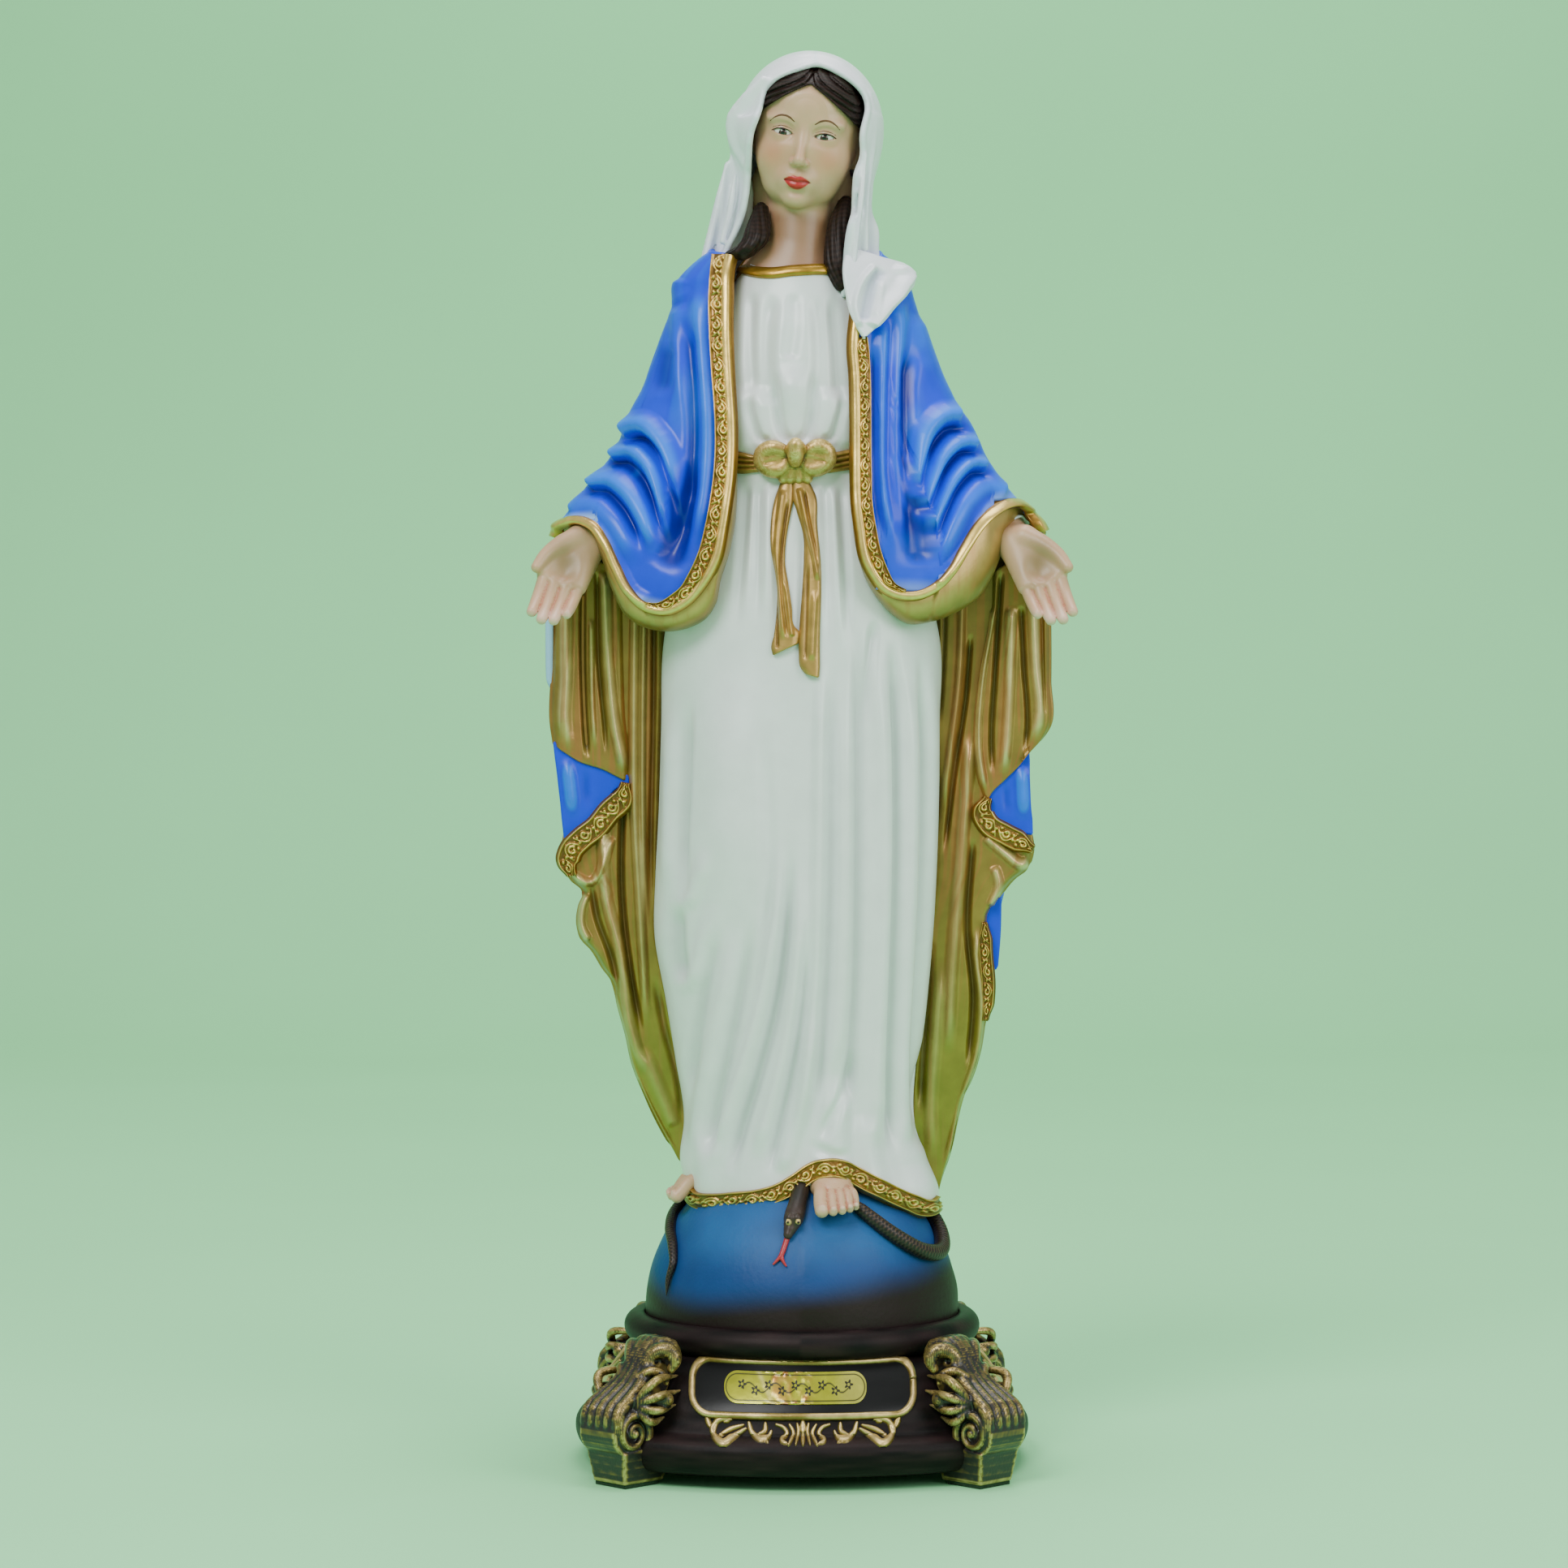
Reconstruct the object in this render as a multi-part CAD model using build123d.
"""A painted cast-resin figure of a robed woman on a globe, standing on a moulded base with four scroll feet.

The row frame has +Z up, the figure faces -Y, and the origin is under the middle of the base.
All lengths are in millimetres. The cast shapes are kept simple: each is one closed solid that nests
against its neighbours with sockets, seats and tenons, in the place and at the size of the real casting.
"""
from build123d import *
import math
import os

# ---- driving dimensions -------------------------------------------------------------------
TOTAL_HEIGHT = 400.0
HAND_SPAN = 153.4            # fingertip to fingertip across the open arms
BASE_HALF = 64.3             # middle of a side of the base's foot moulding
BASE_CORNER = 50.7           # the same moulding's corner, along X and along Y
FOOT_REACH = 76.3            # outer face of a scroll foot's block, from the axis
FOOT_WIDTH = 16.4
PAD_THICKNESS = 1.0
BODY_BOTTOM = 3.5            # the base body hangs this far above the table
RING_RADIUS, RING_THICK, RING_HEIGHT = 46.2, 4.3, 37.0   # collar bead: centre line, half section, height
GLOBE_RADIUS, GLOBE_CENTRE = 44.5, 41.4
GLOBE_WALL = 5.0
HEM_HEIGHT = 76.0            # lowest edge of the robe
WAIST_HEIGHT = 281.5
NECK_TOP = 352.0
SIDES = (("front_left", 225), ("front_right", 315), ("rear_right", 45), ("rear_left", 135))
CLEAR = 0.15                 # glue gap between castings

os.makedirs("parts", exist_ok=True)


def save(name, shape):
    """Writes one sub-part, keeping only its solids."""
    solids = [s for s in shape.solids() if s.volume > 1.0]
    export_step(solids[0] if len(solids) == 1 else Compound(solids), f"parts/{name}.step")


def ellipse_stack(sections, ruled=False):
    """A solid lofted through ellipses given as (z, centre x, centre y, half width, half depth)."""
    rings = []
    for z, cx, cy, a, b in sections:
        major = max(a, b)
        rings.append(Plane.XY.offset(z) * Location((cx, cy, 0), (0, 0, 0 if a >= b else 90))
                     * Ellipse(major, min(a, b)))
    return loft(rings, ruled=ruled)


def front_prism(points, near, far):
    """Extrudes an outline drawn in X and Z along Y, from near to far."""
    wire = Polyline(*[(x, near, z) for x, z in points], close=True)
    return extrude(make_face(wire), amount=far - near, dir=(0, 1, 0))


def smooth_prism(points, near, far):
    """The same with one closed spline through the points."""
    curve = Spline(*[(x, near, z) for x, z in points], periodic=True)
    return extrude(make_face(curve), amount=far - near, dir=(0, 1, 0))


def slab(y0, y1, z0=-10, z1=450):
    return Pos(0, (y0 + y1) / 2, (z0 + z1) / 2) * Box(400, y1 - y0, z1 - z0)


# ---- base -----------------------------------------------------------------------------------
BODY_PROFILE = (
    (BODY_BOTTOM, -5.6, -4.2), (5.6, -1.6, -1.1), (9.6, 0.0, 0.0), (13.2, -1.7, -1.1),
    (15.2, -5.4, -3.8), (17.0, -6.6, -5.2), (21.0, -8.2, -6.6), (27.0, -12.3, -11.0),
    (33.0, -17.0, -16.6),
)


def pillow(z, mid, corner):
    """A square with bowed sides: mid is the middle of a side, corner its end along both axes."""
    ends = [(corner, corner), (-corner, corner), (-corner, -corner), (corner, -corner)]
    mids = [(0, mid), (-mid, 0), (0, -mid), (mid, 0)]
    arcs = [ThreePointArc(ends[i], mids[i], ends[(i + 1) % 4]) for i in range(4)]
    return Plane.XY.offset(z) * make_face(arcs)


def base_envelope(grow):
    """The base body's outer shape, grown sideways."""
    wires = [pillow(z, BASE_HALF + m + grow, BASE_CORNER + c + grow * 0.8) for z, m, c in BODY_PROFILE]
    lower = loft(wires[:5])
    upper = loft(wires[4:])
    return lower + upper


body_solid = base_envelope(0)
body_pocket_radius, body_pocket_top = 41.0, 29.0
top_z = BODY_PROFILE[-1][0]
collar_neck = Pos(0, 0, (top_z + RING_HEIGHT) / 2) * Cylinder(46.6, RING_HEIGHT - top_z)
base_body = body_solid - Pos(0, 0, BODY_BOTTOM + (body_pocket_top - BODY_BOTTOM) / 2) * Cylinder(
    body_pocket_radius, body_pocket_top - BODY_BOTTOM)
seat_radius = GLOBE_RADIUS + CLEAR
ring = Pos(0, 0, RING_HEIGHT) * Torus(RING_RADIUS, RING_THICK)
collar = (ring + collar_neck) - Pos(0, 0, RING_HEIGHT + 7) * Cylinder(seat_radius, 12)
collar = collar & (Pos(0, 0, top_z + 10) * Cylinder(60, 20))
vent = Pos(0, 0, 32) * Cylinder(6, 20)
base_body = base_body - vent
collar = collar - vent
save("base_body", base_body)
save("base_collar", collar)

disc_thick = 2.0
closing_disc = Pos(0, 0, BODY_BOTTOM + disc_thick / 2) * Cylinder(body_pocket_radius - CLEAR, disc_thick)
save("base_closing_disc", closing_disc)


def radial(angle):
    """Turns a shape drawn with its radius along +X to stand at an angle about the base."""
    return Rot(0, 0, angle)


foot_half = FOOT_WIDTH / 2
block_top = 10.0
for name, angle in SIDES:
    pad = Pos(FOOT_REACH - 8.4, 0, PAD_THICKNESS / 2) * Box(12, 12, PAD_THICKNESS)
    block = Pos(FOOT_REACH - 8, 0, (block_top + PAD_THICKNESS) / 2) * Box(
        16, FOOT_WIDTH, block_top - PAD_THICKNESS)
    volute = Pos(FOOT_REACH - 4.6, 0, 15.5) * Rot(90, 0, 0) * Cylinder(7.2, FOOT_WIDTH)
    leaf_outline = [(FOOT_REACH + 2.5, 19), (FOOT_REACH - 3.6, 25.4), (68.6, 28), (64.8, 32), (62.9, 36),
                    (60, 38.5), (54, 38.5), (51, 33), (56, 24), (62, 12)]
    leaf = extrude(make_face(Polyline(*[(r, -foot_half + 1, z) for r, z in leaf_outline], close=True)),
                   amount=FOOT_WIDTH - 2, dir=(0, 1, 0))
    foot = radial(angle) * (block + volute + leaf)
    foot = foot - body_solid - collar - ring
    save(f"scroll_foot_{name}", foot)
    save(f"felt_pad_{name}", radial(angle) * pad)

# The name plate and the cast ornaments follow the bowed, sloping sides of the body.
PLATE_WIDTH, PLATE_LOW, PLATE_HIGH, PLATE_CORNER = 62.0, 18.8, 34.2, 6.0
FRAME_BEAD = 1.7
plate_mid, plate_tall = (PLATE_LOW + PLATE_HIGH) / 2, PLATE_HIGH - PLATE_LOW


def side_plate(width, tall, corner, centre_x=0.0, centre_z=plate_mid):
    """A round-cornered block that passes through the front side of the base."""
    face = Plane((centre_x, -80, centre_z), x_dir=(1, 0, 0), z_dir=(0, -1, 0)) * RectangleRounded(
        width, tall, corner)
    return extrude(face, amount=-60)


proud_frame = base_envelope(1.9) & slab(-90, 0, 0, 33)
proud_panel = base_envelope(0.7) & slab(-90, 0, 0, 33)
proud_label = base_envelope(1.0) & slab(-90, 0, 0, 33)
outer_plate = side_plate(PLATE_WIDTH, plate_tall, PLATE_CORNER)
inner_plate = side_plate(PLATE_WIDTH - 2 * FRAME_BEAD, plate_tall - 2 * FRAME_BEAD, PLATE_CORNER - FRAME_BEAD)
label_plate = side_plate(38.5, 7.6, 3.6, centre_x=-2.0)
save("name_plate_frame", (proud_frame & (outer_plate - inner_plate)) - body_solid)
save("name_plate_panel", (proud_panel & inner_plate) - body_solid)
save("name_label", (proud_label & label_plate) - proud_panel)

SWAG = [(-31, 18.4), (-27, 13.9), (-16, 13.9), (0, 14.2), (16, 13.9), (27, 13.9), (31, 18.4)]
swag = (base_envelope(1.6) - body_solid) & front_prism(SWAG, -80, -30)
save("front_garland", swag)
SPRAY = [(-22, 17), (-10, 15.8), (0, 16.4), (10, 15.8), (22, 17), (17, 24), (9, 27), (0, 32), (-9, 27),
         (-17, 24)]
spray_front = (base_envelope(1.6) - body_solid) & front_prism(SPRAY, -80, -30)
for name, turn in (("left", 270), ("right", 90), ("rear", 180)):
    save(f"side_spray_{name}", Rot(0, 0, turn) * spray_front)

# ---- globe and serpent ------------------------------------------------------------------------
globe_low = RING_HEIGHT + 1.0
globe_ball = Pos(0, 0, GLOBE_CENTRE) * Sphere(GLOBE_RADIUS)
globe_above = Pos(0, 0, globe_low + 30) * Box(120, 120, 60)
globe = globe_ball & globe_above
globe = globe - (Pos(0, 0, GLOBE_CENTRE) * Sphere(GLOBE_RADIUS - GLOBE_WALL))
PIN_X, PIN_RADIUS, PIN_LENGTH = 9.0, 1.5, 20.0
pin_z = GLOBE_CENTRE + GLOBE_RADIUS - 1.0
pins = [Pos(x, 2, pin_z) * Cylinder(PIN_RADIUS, PIN_LENGTH) for x in (-PIN_X, PIN_X)]
for pin in pins:
    globe = globe - pin
save("globe", globe)
save("locating_pins", Compound([p.solids()[0] for p in pins]))


def on_globe(azimuth, height, stand_off):
    """A point over the globe: azimuth 0 is the front, 90 the figure's left."""
    radius = GLOBE_RADIUS + stand_off
    level = math.sqrt(max(radius ** 2 - (height - GLOBE_CENTRE) ** 2, 0.01))
    turn = math.radians(azimuth)
    return (level * math.sin(turn), -level * math.cos(turn), height)


def tube(points, radius):
    path = Spline(*points)
    return sweep(Plane(path @ 0, z_dir=path % 0) * Circle(radius), path=path)


SERPENT_RADIUS = 2.2
rise = SERPENT_RADIUS - 0.5
loop_route = [on_globe(a, z, rise) for a, z in (
    (34, 71), (43, 65), (55, 60), (68, 59.5), (78, 64), (84, 70))]
tail_route = [on_globe(a, z, rise - 0.8) for a, z in ((-76, 71), (-72, 64), (-71, 56), (-74, 46))]
serpent_loop = tube(loop_route, SERPENT_RADIUS) - globe_ball
serpent_tail = tube(tail_route, 1.5) - globe_ball
head_line = [on_globe(a, z, 1.0) for a, z in ((0.5, 75), (-3.5, 67.5))]
snout = Vector(*head_line[1]) - Vector(*head_line[0])
serpent_head = Plane(head_line[0], z_dir=snout) * Pos(0, 0, snout.length / 2) * Cone(
    2.9, 1.7, snout.length)
serpent_head = (serpent_head + Pos(*head_line[1]) * Sphere(1.7)) - globe_ball
tongue = [on_globe(a, z, 0.2) for a, z in ((-4, 65.4), (-6.8, 57.5))]
fork = [on_globe(a, z, 0.2) for a, z in ((-9.6, 54), (-4.6, 54))]
tongue_root = Vector(*tongue[0])


def rod(start, end, radius):
    line = Vector(*end) - Vector(*start)
    return Plane(start, z_dir=line) * Pos(0, 0, line.length / 2) * Cylinder(radius, line.length)


tongue_solid = rod(tongue[0], tongue[1], 0.6) + rod(tongue[1], fork[0], 0.5) + rod(tongue[1], fork[1], 0.5)
tongue_solid = (tongue_solid + Pos(*tongue[1]) * Sphere(0.6)) - globe_ball - serpent_head

# ---- figure: robe, feet -------------------------------------------------------------------------
ROBE = (
    (HEM_HEIGHT, 1.5, 0, 35.5, 27.5), (92, 0, 0, 32.5, 25.5), (127, 0, 0, 35.2, 26.0),
    (150, -1, 0, 38.5, 26.5), (183, 0, 0, 38.5, 26.0), (225, 0, 0, 35.0, 24.0), (258, 0, 0, 24.5, 19.5),
    (WAIST_HEIGHT, 0, 0, 18.0, 15.5), (303, 0, 0, 21.0, 17.5), (322, 0, 1, 19.0, 14.5), (333, -1, 1.5, 12.5, 11.5),
)
robe_solid = ellipse_stack(ROBE)
robe_core = ellipse_stack([(z, cx, cy, a - 6, b - 6) for z, cx, cy, a, b in ROBE[1:-2]])
TRIM_PROUD = 1.0
hem_top = HEM_HEIGHT + 6.0


def robe_grown(grow):
    return ellipse_stack([(z, cx, cy, a + grow, b + grow) for z, cx, cy, a, b in ROBE])


def level(z0, z1):
    return Pos(0, 0, (z0 + z1) / 2) * Box(300, 300, z1 - z0)


robe_outer = robe_grown(TRIM_PROUD)
neck_axis = [(-2.0, 1.5, 322.0), (-1.6, 0.5, NECK_TOP)]
neck = rod(neck_axis[0], neck_axis[1], 9.6)
neck_socket = rod(neck_axis[0], neck_axis[1], 9.6 + CLEAR)
robe = (robe_solid - robe_core - neck_socket - globe_ball) & level(HEM_HEIGHT, 360)
for pin in pins:
    robe = robe - pin
hem_trim = ((robe_outer - robe_solid) & level(HEM_HEIGHT, hem_top)) - globe_ball
sash_band = (robe_outer - robe_solid) & level(WAIST_HEIGHT - 2.6, WAIST_HEIGHT + 2.6)
neck_band = (robe_grown(0.9) - robe_solid) & level(329.5, 332.9)


def toes(centre, turn, count, spread):
    """A forefoot with a row of toes, drawn pointing along -Y and then turned and placed."""
    shape = Pos(0, 4.5, 1.0) * Rot(80, 0, 0) * Cone(5.0, 3.6, 9)
    for i in range(count):
        x = (i - (count - 1) / 2) * spread
        length = 6.5 - 0.55 * abs(i - 0.7)
        root, tip = Vector(x * 0.75, 1.5, 0.6), Vector(x, -length, -1.6)
        radius = 1.55 - 0.12 * i
        shape = shape + rod(tuple(root), tuple(tip), radius) + Pos(*tuple(tip)) * Sphere(radius)
    return Pos(*centre) * Rot(0, 0, turn) * shape


right_toes = toes((8.8, -31.8, 76.0), 8, 5, 2.55) - globe_ball
left_toes = toes((-34.0, -13.5, 77.5), -62, 5, 2.4) - globe_ball
right_toes = right_toes - robe - hem_trim
left_toes = left_toes - robe - hem_trim
robe = robe - right_toes - left_toes

# ---- sash ------------------------------------------------------------------------------------------
BOW = [(-11, 277.5), (-11.3, 285), (-4, 283), (0, 283), (7, 285.5), (7.3, 277.5), (0, 279.5), (-4, 279.5)]
bow = (robe_grown(3.8) - robe_outer) & front_prism(BOW, -45, 0) & slab(-45, 0)
TAIL_LEFT = [(-4.5, 278.9), (-8.3, 262), (-6.2, 245), (-8.6, 229), (-2.6, 231), (-3.0, 246), (-5.0, 262), (-2, 278.9)]
TAIL_RIGHT = [(-1.6, 278.9), (1.0, 262), (-0.2, 246), (-0.6, 222), (3.6, 221), (3.4, 246), (4.4, 262), (1.6, 278.9)]
tail_shell = robe_outer - robe_solid
tails = {}
for name, outline in (("left", TAIL_LEFT), ("right", TAIL_RIGHT)):
    tails[name] = tail_shell & front_prism(outline, -45, 0) & slab(-45, 0)

# ---- mantle ------------------------------------------------------------------------------------------
MANTLE = (
    (73, 0, 6, 38, 30), (95, 0, 6, 43, 31), (125, 0, 6, 54, 33), (165, 0, 5, 65.5, 34), (205, 0, 4, 71.5, 34),
    (240, 0, 1, 72.5, 33), (262, 0, 0, 70, 30.5), (280, 0, 0, 58.5, 28.5), (296, 0, 1, 48, 26.5),
    (313, 0, 1.5, 40.5, 24.5), (330, 0, 2, 34.5, 21.5), (341, 0, 3, 22, 15),
)
MANTLE_WALL = 2.6
mantle_outer = ellipse_stack(MANTLE)
mantle_inner = ellipse_stack([(z, cx, cy, a - MANTLE_WALL, b - MANTLE_WALL) for z, cx, cy, a, b in MANTLE])
mantle_shell = mantle_outer - mantle_inner
# The open cloak's outline from the front, down the figure's right side and up its left.
CLOAK = [
    (0, 341), (-21, 339), (-34, 331), (-39, 313), (-49, 292), (-61, 276), (-69, 264), (-72, 236), (-72, 205),
    (-69.5, 199), (-68.5, 176), (-67.5, 168), (-62, 160), (-63, 150), (-56, 138), (-50.5, 116), (-45, 101),
    (-35.5, 86), (-30, 74), (38, 74), (43, 86), (49, 104), (54, 126), (56, 150), (61, 163), (67, 170),
    (66, 178), (65, 199), (71.5, 205), (71.5, 236), (69, 264), (58, 276), (50, 292), (39, 314), (32, 332), (21, 339),
]
cloak_prism = front_prism(CLOAK, -60, 60)
WING_FACE = 2.0              # the lining's front face
cloak_back = mantle_shell & slab(WING_FACE - 6, 60)
lining = (mantle_inner & cloak_prism & slab(WING_FACE, WING_FACE + 6, 74, 262)) - robe_grown(CLEAR)
RIGHT_SLEEVE = [
    (-20.5, 340), (-20, 300), (-20.5, 268), (-24, 255), (-31, 246), (-40, 240), (-47, 240), (-54, 249),
    (-60, 258), (-69, 262), (-68, 268), (-61, 276), (-49, 292), (-39, 313), (-34, 331)]
LEFT_SLEEVE = [
    (14.5, 319), (15, 300), (15, 262), (19, 252), (26, 245), (33, 241), (40, 243), (48, 251), (56, 262),
    (68, 266), (67, 270), (58, 276), (50, 292), (39, 314), (32, 332), (22, 338)]
front_cut = slab(-60, WING_FACE - 6)
sleeve_right = mantle_shell & front_prism(RIGHT_SLEEVE, -60, 0) & front_cut
sleeve_left = mantle_shell & front_prism(LEFT_SLEEVE, -60, 0) & front_cut
RIGHT_TRIM = [
    (-20.5, 340), (-20, 300), (-20.5, 268), (-24, 255), (-31, 246), (-40, 240), (-47, 240), (-43, 243),
    (-38, 243.5), (-32, 247.5), (-27, 255), (-24.5, 268), (-24, 300), (-24.5, 338)]
LEFT_TRIM = [
    (14.5, 319), (15, 300), (15, 262), (19, 252), (26, 245), (33, 241), (37, 242), (31, 245), (24, 252),
    (19, 262), (19, 300), (18.5, 319)]
trim_shell = ellipse_stack([(z, cx, cy, a + TRIM_PROUD, b + TRIM_PROUD) for z, cx, cy, a, b in MANTLE]) - mantle_outer
trim_right = trim_shell & front_prism(RIGHT_TRIM, -60, 0) & front_cut
trim_left = trim_shell & front_prism(LEFT_TRIM, -60, 0) & front_cut

# ---- hands and cuffs -----------------------------------------------------------------------------------


def hand(side):
    """An open hand with its palm to the front, with the wrist tenon that is glued into the cuff."""
    wrist, knuckles = Vector(60.5 * side, -9, 264), Vector(68.5 * side, -17, 247.5)
    palm = rod(tuple(wrist), tuple(knuckles), 5.6) + Pos(*tuple(knuckles)) * Sphere(5.6)
    tenon_end = wrist + Vector(-9 * side, 7, 9)
    palm = palm + Pos(*tuple(wrist)) * Sphere(5.6) + rod(tuple(tenon_end), tuple(wrist), 4.2)
    tips = ((75.2, -24.5, 239.5), (73.0, -26, 237.8), (70.0, -25.5, 237.0), (66.2, -24.5, 237.8))
    for i, (x, y, z) in enumerate(tips):
        root = knuckles + Vector((3.4 - 2.3 * i) * side, -0.5, 0.6 * i)
        tip = Vector(x * side, y, z)
        palm = palm + rod(tuple(root), tuple(tip), 1.5) + Pos(*tuple(tip)) * Sphere(1.5)
    thumb_root, thumb_tip = wrist + Vector(5 * side, -3, -1.5), Vector(75.1 * side, -19, 254)
    palm = palm + rod(tuple(thumb_root), tuple(thumb_tip), 1.6) + Pos(*tuple(thumb_tip)) * Sphere(1.6)
    return palm, tenon_end, wrist


hands, cuffs = {}, {}
for name, side in (("right", -1), ("left", 1)):
    hands[name], tenon_end, wrist = hand(side)
    span = wrist - tenon_end
    sleeve_end = tenon_end + span * 0.85
    cuff = rod(tuple(tenon_end - span * 0.25), tuple(sleeve_end), 6.2)
    socket = rod(tuple(tenon_end), tuple(wrist), 4.2 + CLEAR)
    cuffs[name] = (cuff - socket) - (Pos(*tuple(wrist)) * Sphere(5.6 + CLEAR))

# ---- head, hair and veil ----------------------------------------------------------------------------------
HEAD = (
    (350.5, -0.6, -8.0, 4.5, 5.0), (354, -0.3, -5.0, 9.2, 11.0), (362, 0.8, -2.6, 12.8, 14.6),
    (372, 2.1, -1.6, 14.4, 16.6), (382, 3.3, -1.0, 14.2, 16.4), (390, 4.2, 0.0, 10.8, 12.6), (395, 4.8, 0.5, 5.0, 6.0),
)
head_egg = ellipse_stack(HEAD)
nose = Pos(0.9, -17.4, 367) * Rot(-72, 0, 0) * Cone(1.2, 2.1, 7)
head = (head_egg + neck + nose)
hair_stack = ellipse_stack([(z, cx, cy + 0.6, a + 1.3, b + 1.3) for z, cx, cy, a, b in HEAD[2:]])
face_window = front_prism([(-16, 355), (-14, 378), (4.5, 391), (17, 374), (17, 355)], -40, -3)
hair = (hair_stack - head_egg - face_window) - neck
hair = hair & level(358, 394.2)


def lock(points, radius):
    return tube(points, radius)


lock_right = lock([(-10.5, -1, 353), (-12.5, -4, 345), (-15.5, -6.5, 336)], 3.0)
lock_left = lock([(11.5, -1, 354), (11.8, -4, 345), (11.0, -9, 331)], 3.0)
VEIL = (
    (398.6, 3.6, 1.0, 7.0, 7.0), (394.5, 3.6, 1.0, 14.5, 15.5), (386, 2.6, 1.2, 19.6, 20.5), (373, 1.4, 2.0, 21.6, 22.5),
    (355, 0, 3.5, 23.4, 23.5), (343, -1.5, 4.5, 25.5, 23.0), (334, -2.0, 5.5, 27.5, 22.0),
)
VEIL_WALL = 2.4
veil_outer = ellipse_stack(VEIL)
veil_cap = Pos(3.6, 1.0, 395.6) * Sphere(1.0)
crown_cap = Pos(3.6, 1.0, TOTAL_HEIGHT - 9.8) * Sphere(9.8)
veil_outer = veil_outer + (crown_cap & level(396.0, TOTAL_HEIGHT))
veil_inner = ellipse_stack([(z - VEIL_WALL, cx, cy, a - VEIL_WALL, b - VEIL_WALL) for z, cx, cy, a, b in VEIL])
veil_window = front_prism([(-14, 320), (-13.5, 372), (-9, 386), (4.5, 393), (14, 386), (17, 372), (13.5, 350),
                           (12, 320)], -60, 0)
veil = veil_outer - veil_inner - veil_window
LAPPET = [(12, 345), (13, 325), (17, 315.5), (23, 324), (30, 334), (24, 341), (21, 350)]
lappet = ellipse_stack([(z, cx, cy, a + 2.0, b + 2.0) for z, cx, cy, a, b in MANTLE]) - mantle_outer
lappet = lappet & front_prism(LAPPET, -60, 0)

# ---- seating: each casting is cut back where a neighbour nests in it ----------------------------------------
head = head - neck_band
hair = hair - head
veil = veil & level(334.2, 401)
veil = veil - hair - head
lock_right = lock_right - head - veil - hair
lock_left = lock_left - head - veil - hair
robe = robe - head
veil_lappet = lappet - veil - lock_left
cloak_back = cloak_back - veil - head - robe_solid
for name in hands:
    cuffs[name] = cuffs[name] - hands[name]
sleeve_right = sleeve_right - cuffs["right"] - hands["right"] - lock_right - veil
sleeve_left = sleeve_left - cuffs["left"] - hands["left"] - lock_left - veil - veil_lappet
cloak_back = cloak_back - cuffs["right"] - cuffs["left"] - hands["right"] - hands["left"]
trim_right = trim_right - lock_right - veil
trim_left = trim_left - veil_lappet - lock_left - veil
hem_trim = hem_trim - cloak_back
robe = robe - lock_right - lock_left
neck_band = neck_band - lock_right - lock_left - veil - head
lining = lining - cloak_back - hands["right"] - hands["left"] - cuffs["right"] - cuffs["left"]
serpent_body = Compound([s for part in (serpent_loop, serpent_tail, serpent_head) for s in part.solids()])
for shape in (hem_trim, right_toes, left_toes, cloak_back, lining, robe):
    serpent_body = serpent_body - shape
cloak_back = cloak_back - globe_ball
lining = lining - globe_ball - hem_trim
cloak_back = cloak_back - hem_trim

save("serpent", serpent_body)
save("serpent_tongue", tongue_solid)
save("robe", robe)
save("hem_trim", hem_trim)
save("neck_band", neck_band)
save("sash_band", sash_band)
save("sash_bow", bow)
save("sash_tail_left", tails["left"])
save("sash_tail_right", tails["right"])
save("toes_right", right_toes)
save("toes_left", left_toes)
save("cloak_back", cloak_back)
save("cloak_lining", lining)
save("cloak_sleeve_right", sleeve_right)
save("cloak_sleeve_left", sleeve_left)
save("cloak_trim_right", trim_right)
save("cloak_trim_left", trim_left)
save("hand_right", hands["right"])
save("hand_left", hands["left"])
save("cuff_right", cuffs["right"])
save("cuff_left", cuffs["left"])
save("head", head)
save("hair", hair)
save("hair_lock_right", lock_right)
save("hair_lock_left", lock_left)
save("veil", veil)
save("veil_lappet", veil_lappet)
